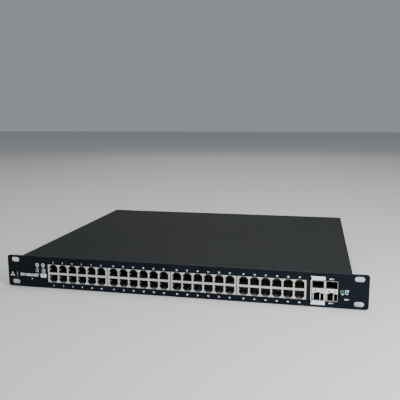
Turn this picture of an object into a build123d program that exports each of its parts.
# A rack-mount network switch, one rack unit high: 48 copper sockets in four blocks,
# four pluggable-module cages, a sheet-steel case, and the boards, power supply and fans inside.
# Frame: +X to the right seen from the front, -Y out of the front face, +Z up, millimetres.
# The origin is the centre of the assembly's footprint, on the surface under its feet.
from build123d import *
import math
import os

os.makedirs("parts", exist_ok=True)

# ---------------------------------------------------------------- driving dimensions
body_w = 444.5          # case width, which passes between the rack's posts
body_d = 363.0          # front face of the plate to the outside of the rear wall
ear_w = 19.75           # each rack ear, from the case's side to the plate's end
plate_h = 43.7          # one rack unit less its running clearance
plate_t = 2.5
plate_corner_r = 3.0
plate_edge = 0.4        # chamfer round the plate's front face
sheet_t = 1.0           # steel of the chassis
cover_t = 1.0           # steel of the cover
cover_bend_r = 1.5
cover_drop = 0.6        # the cover's top lies this far under the plate's top edge
cover_seam = 0.4        # open seam between the plate and the cover's front edge
plate_overhang = 0.7    # the plate reaches this far below the chassis floor
flange_h = 12.0         # low side flanges of the chassis
lip_h = 8.0             # the cover's rear lip
window_gap = 0.3        # clearance round what stands in the plate's windows
inner_gap = 0.8         # the same in the chassis's front wall

slot_l = 12.0           # rack slots, end to end
slot_w = 6.8
slot_from_body = 8.25   # slot centre from the case's side
slot_pitch_z = 31.75    # one rack unit's outer holes

foot_r = 7.0
foot_t = 1.5
foot_inset_x = 32.0
foot_inset_d = 34.0

jack_pitch = 13.97      # column to column, 0.55 inch
jack_columns = 6
block_count = 4
block_margin = 1.24     # metal at each end of a block, beyond its columns
block_gap = 1.1
block_h = 25.0
block_d = 27.5
blocks_x = -7.2         # centre of the four blocks
face_recess = 0.3       # the blocks' faces lie this far behind the plate's face
shield_t = 0.3
opening_w = 12.1
opening_h = 7.5
notch_w = 5.1           # where the plug's latch goes
shelf_h = 2.8           # bar between the upper and the lower row
cavity_d = 14.5
insert_gap = 0.05       # between neighbouring inserts
contact_pitch = 1.02
contact_count = 8
contact_w = 0.4
contact_t = 0.3
contact_rise = 2.6      # how far a contact springs into its cavity
contact_start = 2.2     # from the insert's front face
contact_slope = 8.0     # length of its sloping stretch

sfp_pitch = 16.3
sfp_x = 189.5           # centre of the two cage columns
sfp_open_w = 13.9
sfp_open_h = 9.4
sfp_wall = 0.3
sfp_h = 25.6
sfp_d = 48.0
sfp_proud = 1.0         # the cage stands this far out of the plate
sfp_tail_d = 10.0       # edge connector at the back of each channel
pipe_r = 1.1            # light pipes over the cages
pipe_from_side = 2.6    # round pipe's axis from its channel's right wall
notch_from_side = 3.4   # triangular window's centre from its channel's left wall
pipe_recess = 1.6       # the light pipes end this far behind their windows
latch_notch_w = 6.4     # where a module's latch goes, in the roof of each lower channel
latch_notch_top_w = 4.6
latch_notch_h = 1.5
latch_notch_d = 6.0
sfp_tail_w = 11.6
sfp_tail_slot_w = 9.2   # the connector's slot for the module's card edge
sfp_tail_slot_h = 1.6
sfp_tail_slot_d = 7.0
sfp_tail_slot_up = 3.4

standoff_h = 4.8
standoff_r = 2.5
board_t = 1.6
board_inset_left = 7.0  # board's edges from the case's sides
board_inset_right = 4.5
board_gap = 0.4         # from the plate screws' heads to the board's front edge
board_depth = 199.0
standoff_xs = (-200.0, -100.0, 5.0, 105.0, 200.0)
standoff_ds = (56.0, board_depth - 13.0)    # from the board's front edge
standoff_bore_d = 3.5
psu_standoff_inset = 5.0

reset_x = 211.5
reset_up = 3.5          # axis above the board
pinhole_r = 1.0
plunger_r = 1.5
plunger_gap = 0.05      # radial clearance of the plunger in its switch
plunger_travel = 0.35
switch_w = 7.0
switch_d = 3.5
switch_front_d = 7.0    # switch body's front, from the plate's face
status_x = -205.7
status_up = 3.4
status_r = 0.95
status_hole_gap = 0.1

fan_size = 40.0
fan_t = 20.0
fan_rim = 0.9           # frame's wall at its thinnest, beside the bore
fan_tip_gap = 0.5
fan_hub_r = 8.5
fan_screw_inset = 4.0   # screws' axes from the frame's sides
fan_corner_r = 3.0
fan_floor_gap = 0.15    # frame above the chassis floor
fan_strut_w = 2.2
fan_shaft_r = 1.0
fan_shaft_gap = 0.04
fan_inset = (56.0, 116.0)   # fan axes from the case's left side
fan_blades = 7
grille_cell = 3.6       # hexagonal holes across their corners
grille_pitch = 4.3

inlet_inset = 56.0      # inlet's axis from the case's right side
inlet_up = 20.0         # its axis above the chassis floor
inlet_flange_w = 48.0
inlet_flange_h = 22.0
inlet_flange_t = 2.0
inlet_body_w = 28.0
inlet_body_h = 20.0
inlet_body_d = 24.0
inlet_mouth_w = 24.4
inlet_mouth_h = 16.6
inlet_mouth_d = 17.0
inlet_mouth_chamfer = 4.5   # the two upper corners of the mouth
inlet_screw_pitch = 40.0
inlet_gap = 0.3
ground_inset = 19.0     # earthing screw from the case's right side

psu_w = 142.0
psu_depth = 76.0
psu_from_side = 12.0    # power board's edge from the case's right side
psu_from_rear = 58.0
insulator_t = 0.4

screw_gap = 0.05        # radial clearance of every screw in its hole
cover_grip = 3.6        # cover screw's length under its head
board_screw_bite = 3.0  # how far a board's screw goes into its standoff
fan_screw_bite = 12.0
m2_r, m2_head_r, m2_head_h = 1.0, 1.9, 1.3
m3_r, m3_head_r, m3_head_h = 1.5, 2.7, 1.2
m4_r, m4_head_r, m4_head_h = 2.0, 4.0, 2.4
fan_screw_r, fan_screw_head_r, fan_screw_head_h = 1.7, 3.0, 1.6

# ---------------------------------------------------------------- worked-out places
plate_w = body_w + 2 * ear_w
plate_z0 = foot_t - plate_overhang
plate_z1 = plate_z0 + plate_h
plate_mid_z = plate_z0 + plate_h / 2
floor_z = foot_t                       # underside of the chassis
floor_top = floor_z + sheet_t
roof_top = plate_z1 - cover_drop
roof_z = roof_top - cover_t            # underside of the cover
board_z = floor_top + standoff_h
board_top = board_z + board_t
half_in = body_w / 2 - cover_t         # chassis half width, inside the cover's sides

rear_proud = max(cover_t, m4_head_h + 0.8, inlet_flange_t + m3_head_h)
front_y = -(body_d + rear_proud - sfp_proud) / 2   # the plate's front face
rear_d = body_d
wall_in_d = body_d - sheet_t                       # inside of the rear wall
front_wall_d = plate_t
front_in_d = plate_t + sheet_t

block_w = jack_columns * jack_pitch + 2 * block_margin
block_pitch = block_w + block_gap
block_z = board_top + block_h / 2
block_xs = [blocks_x + (i - (block_count - 1) / 2) * block_pitch for i in range(block_count)]
blocks_w = block_count * block_pitch - block_gap
slope_h = block_h / 2 - shelf_h / 2 - opening_h

sfp_w = sfp_pitch + sfp_open_w + 2 * sfp_wall
sfp_z = board_top + sfp_h / 2
sfp_xs = [sfp_x - sfp_pitch / 2, sfp_x + sfp_pitch / 2]
sfp_low_z = board_top + sfp_wall                   # floor of the lower channels
sfp_high_z = board_top + sfp_h - sfp_wall - sfp_open_h
band_z0 = sfp_low_z + sfp_open_h + sfp_wall
band_z1 = sfp_high_z - sfp_wall
band_z = (band_z0 + band_z1) / 2
sfp_back_d = sfp_d - sfp_proud
sfp_tail_d0 = sfp_back_d - sfp_wall - sfp_tail_d

reset_z = board_top + reset_up
status_z = board_top + status_up
fan_xs = [-body_w / 2 + inset for inset in fan_inset]
fan_z = floor_top + fan_size / 2 + fan_floor_gap
fan_bore_r = fan_size / 2 - fan_rim
fan_screw_pitch = fan_size - 2 * fan_screw_inset
fan_front_d = wall_in_d - fan_t
inlet_x = body_w / 2 - inlet_inset
inlet_z = floor_top + inlet_up
ground_x = body_w / 2 - ground_inset
psu_x1 = body_w / 2 - psu_from_side
psu_x0 = psu_x1 - psu_w
psu_d1 = body_d - psu_from_rear
psu_d0 = psu_d1 - psu_depth
board_d0 = front_in_d + m2_head_h + board_gap
board_d1 = board_d0 + board_depth
board_x0 = -body_w / 2 + board_inset_left
board_x1 = body_w / 2 - board_inset_right


# ---------------------------------------------------------------- helpers
def facing(d):
    """The plane at depth d behind the plate's face, seen from the front: its local x is X, local y is Z."""
    return Plane.XZ.offset(-(front_y + d))


def level(z):
    """The horizontal plane at height z."""
    return Plane.XY.offset(z)


def brick(x0, x1, d0, d1, z0, z1, mode=Mode.ADD):
    """A straight-sided block between two widths, two depths and two heights."""
    with BuildSketch(level(z0)) as outline:
        with Locations(((x0 + x1) / 2, front_y + (d0 + d1) / 2)):
            Rectangle(x1 - x0, d1 - d0)
    extrude(outline.sketch, amount=z1 - z0, mode=mode)


def upright(spots, radius, z0, z1, mode=Mode.ADD):
    """Vertical round pieces at (x, depth) spots."""
    with BuildSketch(level(z0)) as outline:
        with Locations(*[(x, front_y + d) for x, d in spots]):
            Circle(radius)
    extrude(outline.sketch, amount=z1 - z0, mode=mode)


def through(spots, radius, d0, d1, mode=Mode.ADD):
    """Round pieces along the depth at (x, z) spots."""
    with BuildSketch(facing(d0)) as outline:
        with Locations(*spots):
            Circle(radius)
    extrude(outline.sketch, amount=-(d1 - d0), mode=mode)


def screws(seats, radius, head_r, head_h, length, recess_r=0.0):
    """Pan-head screws: each seat is a plane on the surface under the heads, and its spots."""
    for plane, spots in seats:
        with BuildSketch(plane) as heads:
            with Locations(*spots):
                Circle(head_r)
        extrude(heads.sketch, amount=head_h)
        with BuildSketch(plane) as shanks:
            with Locations(*spots):
                Circle(radius)
        extrude(shanks.sketch, amount=-length)
        with BuildSketch(plane.offset(head_h)) as drives:
            with Locations(*spots):
                RegularPolygon(recess_r or head_r * 0.45, 6)
        extrude(drives.sketch, amount=-head_h * 0.6, mode=Mode.SUBTRACT)


def corner_radii(points):
    """Each corner's arc radius: 0.45 of the shorter run over the tangent of half the turn."""
    radii = []
    for before, at, after in zip(points, points[1:], points[2:]):
        run_in = Vector(*at) - Vector(*before)
        run_out = Vector(*after) - Vector(*at)
        half_turn = math.radians(run_in.get_angle(run_out)) / 2
        radii.append(0.45 * min(run_in.length, run_out.length) / math.tan(half_turn))
    return radii


def lead(route, radius, name):
    """A round wire along (x, depth, z) points, with tangent arcs at its corners."""
    points = [(x, front_y + d, z) for x, d, z in route]
    radii = corner_radii(points)
    with BuildLine() as path:
        FilletPolyline(*points, radius=radii)
    with BuildSketch(Plane(origin=path.line @ 0, z_dir=path.line % 0)) as section:
        Circle(radius)
    sweep(section.sketch, path=path.wire())
    diameters = ", ".join(f"{r / (2 * radius):.1f}" for r in radii)
    print(f"{name}: length {path.wire().length:.1f} mm, bends of {diameters} diameters")


def finish(builder, label):
    """Labels a finished piece and writes it."""
    builder.part.label = label
    export_step(builder.part, f"parts/{label}.step")


# ---------------------------------------------------------------- case
plate_screw_xs = [board_x0 + 4, block_xs[0] + block_pitch / 2, blocks_x,
                  block_xs[2] + block_pitch / 2, reset_x + 2.5]
plate_screw_gap = 0.2                   # from a low screw's head to the chassis floor
plate_screw_zs = [floor_top + max(standoff_h / 2, m2_head_r + plate_screw_gap),
                  (board_top + block_h + roof_z) / 2]
plate_screw_spots = [(x, z) for x in plate_screw_xs for z in plate_screw_zs]
plate_thread_d = plate_t - 0.7         # blind, so nothing shows on the front

with BuildPart() as front_plate:
    with BuildSketch(facing(0)):
        with Locations((0, plate_mid_z)):
            RectangleRounded(plate_w, plate_h, plate_corner_r)
        with Locations((blocks_x, block_z)):
            Rectangle(blocks_w + 2 * window_gap, block_h + 2 * window_gap, mode=Mode.SUBTRACT)
        with Locations((sfp_x, sfp_z)):
            Rectangle(sfp_w + 2 * window_gap, sfp_h + 2 * window_gap, mode=Mode.SUBTRACT)
        slot_x = body_w / 2 + slot_from_body
        with Locations((0, plate_mid_z)):
            with GridLocations(2 * slot_x, slot_pitch_z, 2, 2):
                SlotOverall(slot_l, slot_w, mode=Mode.SUBTRACT)
        with Locations((reset_x, reset_z)):
            Circle(pinhole_r, mode=Mode.SUBTRACT)
        with Locations((status_x, status_z)):
            Circle(status_r + status_hole_gap, mode=Mode.SUBTRACT)
    extrude(amount=-plate_t)
    front_face = front_plate.faces().sort_by(Axis.Y)[0]
    chamfer(front_face.outer_wire().edges(), plate_edge)
    through(plate_screw_spots, m2_r + screw_gap, plate_t - plate_thread_d, plate_t, Mode.SUBTRACT)
finish(front_plate, "front_plate")

flange_screw_spots = [(front_y + share * body_d, floor_top + flange_h / 2) for share in (0.15, 0.5, 0.85)]
lip_screw_xs = [-body_w * 0.47, 0.0, body_w * 0.33]
lip_screw_spots = [(x, roof_z - lip_h / 2) for x in lip_screw_xs]
fan_screw_spots = [(fx + sx * fan_screw_pitch / 2, fan_z + sz * fan_screw_pitch / 2)
                   for fx in fan_xs for sx in (-1, 1) for sz in (-1, 1)]
inlet_screw_spots = [(inlet_x + s * inlet_screw_pitch / 2, inlet_z) for s in (-1, 1)]
standoff_spots = [(x, board_d0 + d) for x in standoff_xs for d in standoff_ds]
psu_standoff_spots = [(x, d) for x in (psu_x0 + psu_standoff_inset, psu_x1 - psu_standoff_inset)
                      for d in (psu_d0 + psu_standoff_inset, psu_d1 - psu_standoff_inset)]
foot_spots = [(sx * (body_w / 2 - foot_inset_x), d)
              for sx in (-1, 1) for d in (foot_inset_d, body_d - foot_inset_d)]


def grille_spots(cx, cz, reach):
    """Centres of a honeycomb of holes that stay within reach of (cx, cz)."""
    rows = int(reach / (grille_pitch * math.sqrt(3) / 2)) + 1
    spots = []
    for row in range(-rows, rows + 1):
        z = row * grille_pitch * math.sqrt(3) / 2
        for column in range(-rows - 1, rows + 2):
            x = (column + 0.5 * (row % 2)) * grille_pitch
            if math.hypot(x, z) < reach:
                spots.append((cx + x, cz + z))
    return spots


grille_reach = fan_bore_r - grille_cell / 2 - 0.2

with BuildPart() as base_chassis:
    brick(-half_in, half_in, front_wall_d, rear_d, floor_z, floor_top)
    brick(-half_in, -half_in + sheet_t, front_wall_d, rear_d, floor_z, floor_top + flange_h)
    brick(half_in - sheet_t, half_in, front_wall_d, rear_d, floor_z, floor_top + flange_h)
    brick(-half_in, half_in, front_wall_d, front_in_d, floor_z, roof_z)
    brick(-half_in, half_in, wall_in_d, rear_d, floor_z, roof_z)
    with BuildSketch(facing(front_wall_d)) as front_windows:
        with Locations((blocks_x, block_z)):
            Rectangle(blocks_w + 2 * inner_gap, block_h + 2 * inner_gap)
        with Locations((sfp_x, sfp_z)):
            Rectangle(sfp_w + 2 * inner_gap, sfp_h + 2 * inner_gap)
        with Locations((reset_x, reset_z)):
            Circle(plunger_r + inner_gap)
        with Locations((status_x, status_z)):
            Circle(status_r + inner_gap)
        with Locations(*plate_screw_spots):
            Circle(m2_r + screw_gap)
    extrude(front_windows.sketch, amount=-sheet_t, mode=Mode.SUBTRACT)
    with BuildSketch(facing(wall_in_d)) as rear_windows:
        for fan_x in fan_xs:
            with Locations(*grille_spots(fan_x, fan_z, grille_reach)):
                RegularPolygon(grille_cell / 2, 6)
        with Locations(*fan_screw_spots):
            Circle(fan_screw_r + screw_gap)
        with Locations((inlet_x, inlet_z)):
            Rectangle(inlet_body_w + 2 * inlet_gap, inlet_body_h + 2 * inlet_gap)
        with Locations(*inlet_screw_spots, *lip_screw_spots):
            Circle(m3_r + screw_gap)
        with Locations((ground_x, inlet_z)):
            Circle(m4_r + screw_gap)
    extrude(rear_windows.sketch, amount=-sheet_t, mode=Mode.SUBTRACT)
    upright(standoff_spots + psu_standoff_spots, 1.2 + screw_gap, floor_z, floor_top, Mode.SUBTRACT)
    with BuildSketch(Plane.YZ.offset(-half_in)) as flange_holes:
        with Locations(*flange_screw_spots):
            Circle(m3_r + screw_gap)
    extrude(flange_holes.sketch, amount=2 * half_in, mode=Mode.SUBTRACT)
finish(base_chassis, "base_chassis")

vent_rows = 2
vent_columns = 12
vent_l = 9.0
vent_w = 2.4
vent_pitch_d = 6.0
vent_pitch_z = 12.0
vent_z = (floor_top + flange_h + roof_z) / 2 + 0.5
vent_ds = (body_d * 0.24, body_d * 0.66)

cover_front_d = front_wall_d + cover_seam
lip_end = half_in - cover_bend_r        # the lip stops short of the bends
lip_fan_gap = 2.0
lip_spans = ((-lip_end, fan_xs[0] - fan_size / 2 - lip_fan_gap),
             (fan_xs[-1] + fan_size / 2 + lip_fan_gap, lip_end))

with BuildPart() as top_cover:
    with BuildSketch(facing(cover_front_d)) as channel:
        with Locations((0, (floor_z + roof_top) / 2)):
            Rectangle(body_w, roof_top - floor_z)
        fillet(channel.vertices().group_by(Axis.Y)[-1], cover_bend_r)
        with Locations((0, (floor_z + roof_z) / 2)):
            Rectangle(2 * half_in, roof_z - floor_z, mode=Mode.SUBTRACT)
    extrude(amount=-(rear_d - cover_front_d))
    for lip_x0, lip_x1 in lip_spans:
        brick(lip_x0, lip_x1, rear_d, rear_d + cover_t, roof_z - lip_h, roof_top)
    with BuildSketch(facing(rear_d)) as lip_holes:
        with Locations(*lip_screw_spots):
            Circle(m3_r + screw_gap)
    extrude(lip_holes.sketch, amount=-cover_t, mode=Mode.SUBTRACT)
    with BuildSketch(Plane.YZ.offset(-body_w / 2)) as side_holes:
        with Locations(*flange_screw_spots):
            Circle(m3_r + screw_gap)
        for vent_d in vent_ds:
            with Locations((front_y + vent_d, vent_z)):
                with GridLocations(vent_pitch_d, vent_pitch_z, vent_columns, vent_rows):
                    SlotOverall(vent_l, vent_w, rotation=90)
    extrude(side_holes.sketch, amount=body_w, mode=Mode.SUBTRACT)
finish(top_cover, "top_cover")

with BuildPart() as rubber_feet:
    upright(foot_spots, foot_r, 0, foot_t)
    chamfer(rubber_feet.edges().filter_by(GeomType.CIRCLE).group_by(Axis.Z)[0], foot_t * 0.3)
finish(rubber_feet, "rubber_feet")

# A plane on the front wall's inner face, looking back into the case: its local y is -Z.
inward = Plane(origin=(0, front_y + front_in_d, 0), x_dir=(1, 0, 0), z_dir=(0, 1, 0))

with BuildPart() as plate_screws:
    screws([(inward, [(x, -z) for x, z in plate_screw_spots])],
           m2_r, m2_head_r, m2_head_h, sheet_t + plate_thread_d - 0.2)
finish(plate_screws, "plate_screws")

# Planes on the case's sides and rear: local x runs towards +Y, -Y and -X, local y up.
right_side = Plane(origin=(body_w / 2, 0, 0), x_dir=(0, 1, 0), z_dir=(1, 0, 0))
left_side = Plane(origin=(-body_w / 2, 0, 0), x_dir=(0, -1, 0), z_dir=(-1, 0, 0))


def behind(d):
    """The plane at depth d behind the plate's face, seen from behind: its local x is -X."""
    return Plane(origin=(0, front_y + d, 0), x_dir=(-1, 0, 0), z_dir=(0, 1, 0))


def mirrored(spots):
    """Spots as a plane seen from the other side has them."""
    return [(-u, v) for u, v in spots]


with BuildPart() as cover_screws:
    screws([(right_side, flange_screw_spots), (left_side, mirrored(flange_screw_spots)),
            (behind(rear_d + cover_t), mirrored(lip_screw_spots))], m3_r, m3_head_r, m3_head_h, cover_grip)
finish(cover_screws, "cover_screws")

# ---------------------------------------------------------------- socket blocks
block_back_d = face_recess + block_d
insert_front_d = face_recess + shield_t
insert_back_d = block_back_d - shield_t
insert_h = block_h - 2 * shield_t
column_xs = [(i - (jack_columns - 1) / 2) * jack_pitch for i in range(jack_columns)]


def keyhole(x, side, reach):
    """One socket's outline: a wide mouth for the plug that slopes in to its latch's notch.

    side is 1 for the upper row, whose latch is on top, and -1 for the lower row."""
    heights = (shelf_h / 2, shelf_h / 2 + opening_h, block_h / 2, reach)
    z0, z1, z2, z3 = [block_z + side * height for height in heights]
    wide, narrow = opening_w / 2, notch_w / 2
    with BuildLine() as outline:
        Polyline((x - wide, z0), (x + wide, z0), (x + wide, z1), (x + narrow, z2), (x + narrow, z3),
                 (x - narrow, z3), (x - narrow, z2), (x - wide, z1), close=True)
    make_face(outline.edges())


def contact_profile(side):
    """A contact spring's side view: up from the shelf on a slope, then level to the back."""
    z0 = block_z + side * shelf_h / 2
    d0 = insert_front_d + contact_start
    d1 = insert_front_d + cavity_d
    bend = d0 + contact_slope
    top = z0 + side * contact_rise
    points = [(d0, z0), (bend, top), (d1, top), (d1, top + side * contact_t),
              (bend - contact_t / 2, top + side * contact_t), (d0 - contact_t, z0)]
    with BuildLine() as outline:
        Polyline(*[(front_y + d, z) for d, z in points], close=True)
    make_face(outline.edges())


for number, block_x in enumerate(block_xs, start=1):
    with BuildPart() as jack_shield:
        block_x0, block_x1 = block_x - block_w / 2, block_x + block_w / 2
        brick(block_x0, block_x1, face_recess, block_back_d, board_top, board_top + block_h)
        brick(block_x0 + shield_t, block_x1 - shield_t, insert_front_d, insert_back_d,
              board_top + shield_t, board_top + block_h - shield_t, Mode.SUBTRACT)
        with BuildSketch(facing(face_recess)) as keyholes:
            for column_x in column_xs:
                for side in (1, -1):
                    keyhole(block_x + column_x, side, block_h / 2 + 1)
        extrude(keyholes.sketch, amount=-shield_t, mode=Mode.SUBTRACT)
    finish(jack_shield, f"jack_shield_{number}")

    with BuildPart() as jack_inserts:
        with BuildSketch(facing(insert_front_d)) as blanks:
            with Locations(*[(block_x + column_x, block_z) for column_x in column_xs]):
                Rectangle(jack_pitch - insert_gap, insert_h)
        extrude(blanks.sketch, amount=-(insert_back_d - insert_front_d))
        with BuildSketch(facing(insert_front_d)) as cavities:
            for column_x in column_xs:
                for side in (1, -1):
                    keyhole(block_x + column_x, side, block_h / 2 + 1)
        extrude(cavities.sketch, amount=-cavity_d, mode=Mode.SUBTRACT)
    finish(jack_inserts, f"jack_inserts_{number}")

    with BuildPart(mode=Mode.PRIVATE) as contact_pair:
        with BuildSketch(Plane.YZ.offset(-contact_w / 2)):
            contact_profile(1)
            contact_profile(-1)
        extrude(amount=contact_w)
    with BuildPart() as jack_contacts:
        contact_xs = [block_x + column_x + (i - (contact_count - 1) / 2) * contact_pitch
                      for column_x in column_xs for i in range(contact_count)]
        with Locations(*[(x, 0, 0) for x in contact_xs]):
            add(contact_pair.part)
    finish(jack_contacts, f"jack_contacts_{number}")

# ---------------------------------------------------------------- module cages
with BuildPart() as sfp_cage:
    with BuildSketch(facing(-sfp_proud)):
        with Locations((sfp_x, sfp_z)):
            Rectangle(sfp_w, sfp_h)
        for channel_x in sfp_xs:
            with Locations(*[(channel_x, z + sfp_open_h / 2) for z in (sfp_low_z, sfp_high_z)]):
                Rectangle(sfp_open_w, sfp_open_h, mode=Mode.SUBTRACT)
            with Locations((channel_x, band_z)):
                Rectangle(sfp_open_w, band_z1 - band_z0, mode=Mode.SUBTRACT)
        with Locations((sfp_x, band_z)):
            Rectangle(sfp_pitch - sfp_open_w - 2 * sfp_wall, sfp_h - 2 * sfp_wall, mode=Mode.SUBTRACT)
    extrude(amount=-sfp_d)
    with BuildSketch(facing(sfp_back_d - sfp_wall)) as back_sheet:
        with Locations((sfp_x, sfp_z)):
            Rectangle(sfp_w, sfp_h)
        for channel_x in sfp_xs:
            with Locations((channel_x, band_z)):
                Rectangle(sfp_open_w, band_z1 - band_z0, mode=Mode.SUBTRACT)
    extrude(back_sheet.sketch, amount=-sfp_wall)
    with BuildSketch(facing(-sfp_proud)) as spine:
        with Locations((sfp_x, sfp_z)):
            Rectangle(sfp_pitch - sfp_open_w, sfp_h - 2 * sfp_wall)
    extrude(spine.sketch, amount=-sfp_wall)
    for channel_x in sfp_xs:
        brick(channel_x - latch_notch_w / 2, channel_x + latch_notch_w / 2,
              -sfp_proud, latch_notch_d - sfp_proud, band_z0 - sfp_wall, band_z0, Mode.SUBTRACT)
finish(sfp_cage, "sfp_cage")

pipe_xs = [x + sfp_open_w / 2 - pipe_from_side for x in sfp_xs]
notch_xs = [x - sfp_open_w / 2 + notch_from_side for x in sfp_xs]

with BuildPart() as sfp_latch_strips:
    with BuildSketch(facing(-sfp_proud)):
        for channel_x, pipe_x, notch_x in zip(sfp_xs, pipe_xs, notch_xs):
            with Locations((channel_x, band_z)):
                Rectangle(sfp_open_w, band_z1 - band_z0)
            with Locations((pipe_x, band_z)):
                Circle(pipe_r + screw_gap, mode=Mode.SUBTRACT)
            with Locations((notch_x, band_z)):
                RegularPolygon(2 * pipe_r, 3, rotation=-90, mode=Mode.SUBTRACT)
            with BuildLine() as latch_notch:
                Polyline((channel_x - latch_notch_w / 2, band_z0), (channel_x + latch_notch_w / 2, band_z0),
                         (channel_x + latch_notch_top_w / 2, band_z0 - sfp_wall + latch_notch_h),
                         (channel_x - latch_notch_top_w / 2, band_z0 - sfp_wall + latch_notch_h), close=True)
            make_face(mode=Mode.SUBTRACT)
    extrude(amount=-sfp_wall)
finish(sfp_latch_strips, "sfp_latch_strips")

with BuildPart() as sfp_connectors:
    for channel_x in sfp_xs:
        for channel_z in (sfp_low_z, sfp_high_z):
            brick(channel_x - sfp_tail_w / 2, channel_x + sfp_tail_w / 2, sfp_tail_d0, sfp_back_d - sfp_wall,
                  channel_z, channel_z + sfp_open_h - 1.0)
            slot_z = channel_z + sfp_tail_slot_up
            brick(channel_x - sfp_tail_slot_w / 2, channel_x + sfp_tail_slot_w / 2, sfp_tail_d0,
                  sfp_tail_d0 + sfp_tail_slot_d, slot_z, slot_z + sfp_tail_slot_h, Mode.SUBTRACT)
finish(sfp_connectors, "sfp_connectors")

led_w, led_d, led_h = 2.0, 1.2, 0.7
status_lamp_w, status_lamp_d = 3.0, 2.5
pipe_bend_r = 3.0
pipe_bend_d = sfp_back_d + 3.5          # each light pipe turns down here, on to its lamp
status_d1 = front_in_d + 5.0            # the status light pipe ends on its lamp

with BuildPart() as sfp_light_pipes:
    for pipe_x in pipe_xs + notch_xs:
        start_d = pipe_recess - sfp_proud
        with BuildLine() as route:
            FilletPolyline((pipe_x, front_y + start_d, band_z), (pipe_x, front_y + pipe_bend_d, band_z),
                           (pipe_x, front_y + pipe_bend_d, board_top + led_h), radius=pipe_bend_r)
        with BuildSketch(Plane(origin=route.line @ 0, z_dir=route.line % 0)) as section:
            Circle(pipe_r)
        sweep(section.sketch, path=route.wire())
finish(sfp_light_pipes, "sfp_light_pipes")

# ---------------------------------------------------------------- board and what it carries
with BuildPart() as main_board:
    brick(board_x0, board_x1, board_d0, board_d1, board_z, board_top)
    upright(standoff_spots, m3_r + screw_gap, board_z, board_top, Mode.SUBTRACT)
finish(main_board, "main_board")

with BuildPart() as board_standoffs:
    for x, d in standoff_spots + psu_standoff_spots:
        with BuildSketch(level(floor_top)) as post:
            with Locations((x, front_y + d)):
                RegularPolygon(standoff_r, 6, major_radius=False)
        extrude(post.sketch, amount=standoff_h)
    upright(standoff_spots + psu_standoff_spots, m3_r + screw_gap, board_z - standoff_bore_d, board_z,
            Mode.SUBTRACT)
finish(board_standoffs, "board_standoffs")

with BuildPart() as board_screws:
    tops = [(x, front_y + d) for x, d in standoff_spots + psu_standoff_spots]
    screws([(level(board_top), tops)], m3_r, m3_head_r, m3_head_h, board_t + board_screw_bite)
finish(board_screws, "board_screws")

magnetics_count = 12
magnetics_w, magnetics_depth, magnetics_h = 24.0, 15.0, 6.2
magnetics_gap = 6.0                     # from the socket blocks
magnetics_d0 = block_back_d + magnetics_gap
magnetics_d1 = magnetics_d0 + magnetics_depth

with BuildPart() as line_transformers:
    for i in range(magnetics_count):
        x = blocks_x + (i - (magnetics_count - 1) / 2) * blocks_w / magnetics_count
        brick(x - magnetics_w / 2, x + magnetics_w / 2, magnetics_d0, magnetics_d1,
              board_top, board_top + magnetics_h)
finish(line_transformers, "line_transformers")

phy_count = 6
phy_pitch = 58.0
phy_xs = [blocks_x + (i - (phy_count - 1) / 2) * phy_pitch for i in range(phy_count)]
phy_mid_d = magnetics_d1 + 40.0
phy_half = 10.0
phy_h = 1.6
phy_sink_half, phy_sink_base, phy_sink_h, phy_fins = 14.0, 2.5, 14.0, 7
switch_x = blocks_x
switch_mid_d = phy_mid_d + 55.0
switch_half = 18.5
switch_h = 2.6
switch_sink_half, switch_sink_base, switch_sink_h, switch_fins = 30.0, 4.0, 24.0, 13
fin_t = 1.2


def finned(x, d, half, z0, base, height, fins):
    """A finned heat sink: a square base, and fins along the depth, so that air passes front to back."""
    brick(x - half, x + half, d - half, d + half, z0, z0 + base)
    with BuildSketch(level(z0 + base)) as comb:
        with Locations((x, front_y + d)):
            with GridLocations((2 * half - fin_t) / (fins - 1), 1, fins, 1):
                Rectangle(fin_t, 2 * half)
    extrude(comb.sketch, amount=height - base)


with BuildPart() as phy_chips:
    for x in phy_xs:
        brick(x - phy_half, x + phy_half, phy_mid_d - phy_half, phy_mid_d + phy_half,
              board_top, board_top + phy_h)
finish(phy_chips, "phy_chips")

with BuildPart() as phy_heat_sinks:
    for x in phy_xs:
        finned(x, phy_mid_d, phy_sink_half, board_top + phy_h, phy_sink_base, phy_sink_h, phy_fins)
finish(phy_heat_sinks, "phy_heat_sinks")

with BuildPart() as switch_chip:
    brick(switch_x - switch_half, switch_x + switch_half, switch_mid_d - switch_half,
          switch_mid_d + switch_half, board_top, board_top + switch_h)
finish(switch_chip, "switch_chip")

with BuildPart() as switch_heat_sink:
    finned(switch_x, switch_mid_d, switch_sink_half, board_top + switch_h, switch_sink_base, switch_sink_h,
           switch_fins)
finish(switch_heat_sink, "switch_heat_sink")

# Two memory chips and a smaller flash chip: centre x, width, depth and height.
memory_sizes = ((52.0, 9.0, 13.0, 1.1), (66.0, 9.0, 13.0, 1.1), (83.0, 6.0, 8.0, 1.8))
with BuildPart() as memory_chips:
    for x, chip_w, chip_d, chip_h in memory_sizes:
        brick(x - chip_w / 2, x + chip_w / 2, switch_mid_d - chip_d / 2, switch_mid_d + chip_d / 2,
              board_top, board_top + chip_h)
finish(memory_chips, "memory_chips")

capacitor_r, capacitor_h, capacitor_edge_r = 4.0, 11.5, 0.6
capacitor_spots = [(side * x, switch_mid_d + 24.0) for side in (1, -1) for x in (60.0, 72.0, 84.0)]
with BuildPart() as board_capacitors:
    upright(capacitor_spots, capacitor_r, board_top, board_top + capacitor_h)
    capacitor_rims = board_capacitors.edges().filter_by(GeomType.CIRCLE).group_by(Axis.Z)[-1]
    fillet(capacitor_rims, capacitor_edge_r)
finish(board_capacitors, "board_capacitors")

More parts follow.
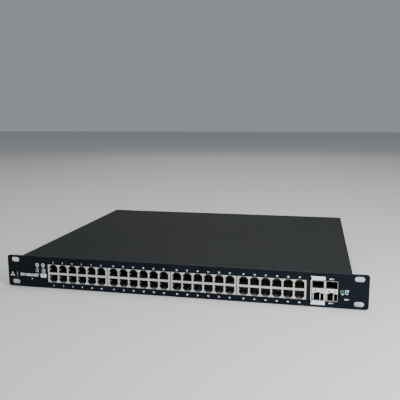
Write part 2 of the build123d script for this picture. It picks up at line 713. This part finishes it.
with BuildPart() as board_leds:
    for x in pipe_xs + notch_xs:
        brick(x - led_w / 2, x + led_w / 2, pipe_bend_d - led_d / 2, pipe_bend_d + led_d / 2,
              board_top, board_top + led_h)
    brick(status_x - status_lamp_w / 2, status_x + status_lamp_w / 2, status_d1, status_d1 + status_lamp_d,
          board_top, status_z + status_r)
finish(board_leds, "board_leds")

with BuildPart() as status_light_pipe:
    through([(status_x, status_z)], status_r, 0, status_d1)
finish(status_light_pipe, "status_light_pipe")

# ---------------------------------------------------------------- reset switch
plunger_d0 = front_in_d + 0.6
plunger_d1 = switch_front_d + 1.6
bore_d1 = plunger_d1 + plunger_travel + 0.25

with BuildPart() as reset_switch:
    brick(reset_x - switch_w / 2, reset_x + switch_w / 2, switch_front_d, switch_front_d + switch_d,
          board_top, reset_z + switch_w / 2)
    through([(reset_x, reset_z)], plunger_r + plunger_gap, switch_front_d, bore_d1, Mode.SUBTRACT)
finish(reset_switch, "reset_switch")

with BuildPart() as reset_button:
    through([(reset_x, reset_z)], plunger_r, plunger_d0, plunger_d1)
    chamfer(reset_button.edges().filter_by(GeomType.CIRCLE).sort_by(Axis.Y)[0], 0.3)
finish(reset_button, "reset_button")

# ---------------------------------------------------------------- power supply
with BuildPart() as power_board:
    brick(psu_x0, psu_x1, psu_d0, psu_d1, board_z, board_top)
    upright(psu_standoff_spots, m3_r + screw_gap, board_z, board_top, Mode.SUBTRACT)
finish(power_board, "power_board")

with BuildPart() as power_insulator:
    brick(psu_x0 - 1, psu_x1 + 1, psu_d0 - 1, psu_d1 + 1, floor_top, floor_top + insulator_t)
    upright(psu_standoff_spots, standoff_r + 1.0, floor_top, floor_top + insulator_t, Mode.SUBTRACT)
finish(power_insulator, "power_insulator")

# The transformer: a ferrite core whose two windows are filled by the winding round its middle leg.
core_x = psu_x0 + 52.0
core_d = psu_d0 + 36.0
core_w, core_depth, core_h = 34.0, 14.0, 28.0
core_leg = 6.0
core_middle = 12.0
core_z0 = board_top + 2.0

with BuildPart() as transformer_core:
    brick(core_x - core_w / 2, core_x + core_w / 2, core_d - core_depth / 2, core_d + core_depth / 2,
          core_z0, core_z0 + core_h)
    window_w = (core_w - 2 * core_leg - core_middle) / 2
    for side in (1, -1):
        window_x = core_x + side * (core_middle + window_w) / 2
        brick(window_x - window_w / 2, window_x + window_w / 2, core_d - core_depth / 2,
              core_d + core_depth / 2, core_z0 + core_leg, core_z0 + core_h - core_leg, Mode.SUBTRACT)
finish(transformer_core, "transformer_core")

with BuildPart() as transformer_winding:
    brick(core_x - core_middle / 2 - window_w, core_x + core_middle / 2 + window_w,
          core_d - core_depth / 2 - window_w, core_d + core_depth / 2 + window_w,
          core_z0 + core_leg, core_z0 + core_h - core_leg)
    fillet(transformer_winding.edges().filter_by(Axis.Z), window_w * 0.8)
    brick(core_x - core_middle / 2, core_x + core_middle / 2, core_d - core_depth / 2,
          core_d + core_depth / 2, core_z0 + core_leg, core_z0 + core_h - core_leg, Mode.SUBTRACT)
    for side in (1, -1):
        foot_d = core_d + side * (core_depth / 2 + window_w / 2)
        brick(core_x - 9.0, core_x + 9.0, foot_d - 1.5, foot_d + 1.5, board_top, core_z0 + core_leg)
finish(transformer_winding, "transformer_winding")

bulk_spots = [(psu_x0 + 92.0, psu_d0 + 22.0), (psu_x0 + 92.0, psu_d0 + 44.0)]
output_spots = [(psu_x0 + 24.0, psu_d0 + 12.0 + i * 12.5) for i in range(4)]
with BuildPart() as power_capacitors:
    upright(bulk_spots, 10.0, board_top, board_top + 29.0)
    upright(output_spots, 5.0, board_top, board_top + 21.0)
    fillet(power_capacitors.edges().filter_by(GeomType.CIRCLE).group_by(Axis.Z)[-1], 0.8)
finish(power_capacitors, "power_capacitors")

with BuildPart() as power_heat_sinks:
    for sink_x in (psu_x0 + 73.0, psu_x0 + 10.5):
        brick(sink_x - 1.5, sink_x + 1.5, psu_d0 + 12.0, psu_d0 + 64.0, board_top, board_top + 27.0)
        for i in range(5):
            fin_d = psu_d0 + 14.0 + i * 12.0
            brick(sink_x + 1.5, sink_x + 5.0, fin_d - 0.8, fin_d + 0.8, board_top + 6.0, board_top + 27.0)
finish(power_heat_sinks, "power_heat_sinks")

choke_x = psu_x0 + 118.0
choke_d = psu_d0 + 30.0
with BuildPart() as filter_choke:
    through([(choke_x, board_top + 12.0)], 12.0, choke_d - 5.0, choke_d + 5.0)
    through([(choke_x, board_top + 12.0)], 5.5, choke_d - 5.0, choke_d + 5.0, Mode.SUBTRACT)
    fillet(filter_choke.edges().filter_by(GeomType.CIRCLE), 1.5)
finish(filter_choke, "filter_choke")

terminal_x = inlet_x + 3.0
terminal_pitch = 7.6
terminal_z = board_top + 7.0
wire_r = 0.9
with BuildPart() as power_terminal:
    brick(terminal_x - terminal_pitch, terminal_x + terminal_pitch, psu_d1 - 12.0, psu_d1 - 1.0,
          board_top, board_top + 12.0)
    for side in (1, -1):
        upright([(terminal_x + side * terminal_pitch / 2, psu_d1 - 6.5)], 2.2,
                board_top + 10.5, board_top + 12.0, Mode.SUBTRACT)
finish(power_terminal, "power_terminal")

# Plug-in headers: the power lead's at both its ends, and one for each fan.
harness_pitch = 4.0
harness_count = 4
harness_x0 = psu_x0 + 41.0              # on the power board
harness_x1 = harness_x0 - 12.0          # on the main board
harness_z = board_top + 4.5
header_d = 9.0
harness_from_d = psu_d0 + 1.0
harness_to_d = board_d1 - 1.0
fan_header_xs = [x + 24.0 for x in fan_xs]
fan_header_z = board_top + 3.5
fan_lead_r = 1.2
half_harness = harness_count * harness_pitch / 2

with BuildPart() as board_headers:
    brick(harness_x0 - half_harness, harness_x0 + half_harness, harness_from_d, harness_from_d + header_d,
          board_top, board_top + 9.0)
    brick(harness_x1 - half_harness, harness_x1 + half_harness, harness_to_d - header_d, harness_to_d,
          board_top, board_top + 9.0)
    for x in fan_header_xs:
        brick(x - 4.0, x + 4.0, board_d1 - 1.0 - header_d, board_d1 - 1.0, board_top, board_top + 7.0)
finish(board_headers, "board_headers")

with BuildPart() as power_harness:
    gap_d = harness_from_d - harness_to_d
    for i in range(harness_count):
        step = (i - (harness_count - 1) / 2) * harness_pitch
        x0, x1 = harness_x0 + step, harness_x1 + step
        lead([(x0, harness_from_d, harness_z), (x0, harness_from_d - 0.30 * gap_d, harness_z),
              (x1, harness_to_d + 0.30 * gap_d, harness_z), (x1, harness_to_d, harness_z)],
             wire_r, f"power_harness {i + 1}")
finish(power_harness, "power_harness")

# ---------------------------------------------------------------- mains inlet and earthing
inlet_mouth_floor_d = rear_d + inlet_flange_t - inlet_mouth_d
tab_d = rear_d - inlet_body_d - 7.0

with BuildPart() as power_inlet:
    with BuildSketch(behind(rear_d)) as flange:
        with Locations((-inlet_x, inlet_z)):
            RectangleRounded(inlet_flange_w, inlet_flange_h, 3.0)
        with Locations(*mirrored(inlet_screw_spots)):
            Circle(m3_r + screw_gap, mode=Mode.SUBTRACT)
    extrude(flange.sketch, amount=inlet_flange_t)
    brick(inlet_x - inlet_body_w / 2, inlet_x + inlet_body_w / 2, rear_d - inlet_body_d, rear_d,
          inlet_z - inlet_body_h / 2, inlet_z + inlet_body_h / 2)
    with BuildSketch(behind(rear_d + inlet_flange_t)) as mouth:
        with Locations((-inlet_x, inlet_z)):
            Rectangle(inlet_mouth_w, inlet_mouth_h)
        chamfer(mouth.vertices().group_by(Axis.Y)[-1], inlet_mouth_chamfer)
    extrude(mouth.sketch, amount=-inlet_mouth_d, mode=Mode.SUBTRACT)
finish(power_inlet, "power_inlet")

pin_spots = [(inlet_x - 7.0, inlet_z - 2.0), (inlet_x, inlet_z + 2.0), (inlet_x + 7.0, inlet_z - 2.0)]
with BuildPart() as inlet_pins:
    for x, z in pin_spots:
        brick(x - 1.0, x + 1.0, inlet_mouth_floor_d, inlet_mouth_floor_d + 14.0, z - 2.0, z + 2.0)
        brick(x - 0.4, x + 0.4, tab_d, rear_d - inlet_body_d, z - 2.4, z + 2.4)
finish(inlet_pins, "inlet_pins")

with BuildPart() as inlet_screws:
    screws([(behind(rear_d + inlet_flange_t), mirrored(inlet_screw_spots))],
           m3_r, m3_head_r, m3_head_h, inlet_flange_t + sheet_t + 2.4)
    nut_plane = facing(wall_in_d)
    for x, z in inlet_screw_spots:
        with BuildSketch(nut_plane) as nut:
            with Locations((x, z)):
                RegularPolygon(2.75, 6, major_radius=False)
        extrude(nut.sketch, amount=2.4)
finish(inlet_screws, "inlet_screws")

with BuildPart() as ground_screw:
    washer_t = 0.8
    with BuildSketch(behind(rear_d)) as washer:
        with Locations((-ground_x, inlet_z)):
            Circle(4.5)
    extrude(washer.sketch, amount=washer_t)
    screws([(behind(rear_d + washer_t), [(-ground_x, inlet_z)])],
           m4_r, m4_head_r, m4_head_h, washer_t + sheet_t + 0.8 + 3.2)
finish(ground_screw, "ground_screw")

lug_t = 0.8
lug_reach = 9.0
lug_drop = 6.0
with BuildPart() as earth_lug:
    with BuildSketch(facing(wall_in_d - lug_t)) as ring:
        with Locations((ground_x, inlet_z)):
            Circle(4.0)
        with Locations((ground_x, inlet_z - lug_drop / 2)):
            Rectangle(4.0, lug_drop)
        with Locations((ground_x, inlet_z)):
            Circle(m4_r + screw_gap, mode=Mode.SUBTRACT)
    extrude(ring.sketch, amount=-lug_t)
    brick(ground_x - 2.0, ground_x + 2.0, wall_in_d - lug_reach, wall_in_d - lug_t / 2,
          inlet_z - lug_drop - lug_t, inlet_z - lug_drop)
finish(earth_lug, "earth_lug")

with BuildPart() as inlet_wires:
    end_d = psu_d1 - 1.0
    for (x0, z0), side in ((pin_spots[0], -1), (pin_spots[2], 1)):
        x1 = terminal_x + side * terminal_pitch / 2
        run = tab_d - end_d
        lead([(x0, tab_d, z0), (x0, tab_d - 0.3 * run, z0), (x1, end_d + 0.3 * run, terminal_z),
              (x1, end_d, terminal_z)], wire_r, "inlet_wires")
finish(inlet_wires, "inlet_wires")

with BuildPart() as earth_wire:
    earth_x, earth_z = pin_spots[1]
    lug_d = wall_in_d - lug_reach
    lug_z = inlet_z - lug_drop - lug_t / 2
    lead([(earth_x, tab_d, earth_z), (earth_x, tab_d - 9.0, earth_z),
          (earth_x + 9.0, tab_d - 18.0, earth_z + 1.0), (ground_x - 10.0, tab_d - 16.0, lug_z + 3.0),
          (ground_x, tab_d - 2.0, lug_z), (ground_x, lug_d, lug_z)],
         wire_r, "earth_wire")
finish(earth_wire, "earth_wire")

# ---------------------------------------------------------------- fans
plate_depth = 1.6                       # of the motor's mounting disc and its struts
tube_r = 3.4
cup_wall = 1.0
cup_back_gap = 1.0
rotor_front_gap = 1.2
strut_l = fan_bore_r + 0.3 - fan_hub_r + 1.0
strut_mid_r = fan_bore_r + 0.3 - strut_l / 2
fan_back_d = wall_in_d
disc_d = fan_back_d - plate_depth
cup_back_d = disc_d - cup_back_gap
cup_front_d = fan_front_d + rotor_front_gap

for number, fan_x in enumerate(fan_xs, start=1):
    corners = [(fan_x + sx * fan_screw_pitch / 2, fan_z + sz * fan_screw_pitch / 2)
               for sx in (-1, 1) for sz in (-1, 1)]

    with BuildPart() as fan_frame:
        with BuildSketch(facing(fan_front_d)):
            with Locations((fan_x, fan_z)):
                RectangleRounded(fan_size, fan_size, fan_corner_r)
                Circle(fan_bore_r, mode=Mode.SUBTRACT)
            with Locations(*corners):
                Circle(fan_screw_r + screw_gap, mode=Mode.SUBTRACT)
        extrude(amount=-fan_t)
        with BuildSketch(facing(disc_d)) as spider:
            with Locations((fan_x, fan_z)):
                Circle(fan_hub_r)
                with PolarLocations(strut_mid_r, 3, start_angle=90):
                    Rectangle(strut_l, fan_strut_w)
        extrude(spider.sketch, amount=-plate_depth)
        through([(fan_x, fan_z)], tube_r, cup_front_d + cup_wall + 1.0, disc_d)
        through([(fan_x, fan_z)], fan_shaft_r + fan_shaft_gap, cup_front_d + cup_wall + 1.0, disc_d,
                Mode.SUBTRACT)
    finish(fan_frame, f"fan_frame_{number}")

    with BuildPart() as fan_rotor:
        through([(fan_x, fan_z)], fan_hub_r, cup_front_d, cup_back_d)
        through([(fan_x, fan_z)], fan_hub_r - cup_wall, cup_front_d + cup_wall, cup_back_d, Mode.SUBTRACT)
        through([(fan_x, fan_z)], fan_shaft_r, cup_front_d, disc_d - 0.6)
        fillet(fan_rotor.edges().filter_by(GeomType.CIRCLE).sort_by(Axis.Y)[0], 0.8)
        root_r = fan_hub_r - cup_wall / 2
        tip_r = fan_bore_r - fan_tip_gap
        blade_mid_d = (cup_front_d + cup_back_d) / 2
        for i in range(fan_blades):
            turn = 2 * math.pi * i / fan_blades
            out = Vector(math.cos(turn), 0, math.sin(turn))
            round_way = Vector(-math.sin(turn), 0, math.cos(turn))
            centre = Vector(fan_x, front_y + blade_mid_d, fan_z)
            root = Plane(origin=centre + out * root_r, x_dir=round_way, z_dir=out)
            tip = Plane(origin=centre + out * (tip_r - 0.6), x_dir=round_way, z_dir=out)
            with BuildSketch(root) as root_section:
                Rectangle(1.2, 12.0, rotation=38)
            with BuildSketch(tip) as tip_section:
                Rectangle(0.8, 13.0, rotation=52)
            loft([root_section.sketch.face(), tip_section.sketch.face()])
    finish(fan_rotor, f"fan_rotor_{number}")

with BuildPart() as fan_stators:
    axes = [(fan_x, fan_z) for fan_x in fan_xs]
    through(axes, fan_hub_r - cup_wall - 0.6, cup_front_d + cup_wall + 2.5, cup_back_d - 2.0)
    through(axes, tube_r, cup_front_d + cup_wall + 2.5, cup_back_d - 2.0, Mode.SUBTRACT)
finish(fan_stators, "fan_stators")

with BuildPart() as fan_screws:
    screws([(behind(rear_d), mirrored(fan_screw_spots))],
           fan_screw_r, fan_screw_head_r, fan_screw_head_h, sheet_t + fan_screw_bite)
finish(fan_screws, "fan_screws")

with BuildPart() as fan_leads:
    for fan_x, header_x in zip(fan_xs, fan_header_xs):
        start_x = fan_x + fan_size / 2 - 1.6
        start_z = fan_z - fan_size / 2 + 3.0
        end_d = board_d1 - 1.0
        span = fan_front_d - end_d
        lead([(start_x, fan_front_d, start_z), (start_x, fan_front_d - 0.14 * span, start_z),
              (start_x + 5.0, fan_front_d - 0.38 * span, start_z - 0.8),
              (header_x - 2.0, end_d + 0.36 * span, start_z + 1.0),
              (header_x, end_d + 0.12 * span, fan_header_z), (header_x, end_d, fan_header_z)],
             fan_lead_r, "fan_leads")
finish(fan_leads, "fan_leads")
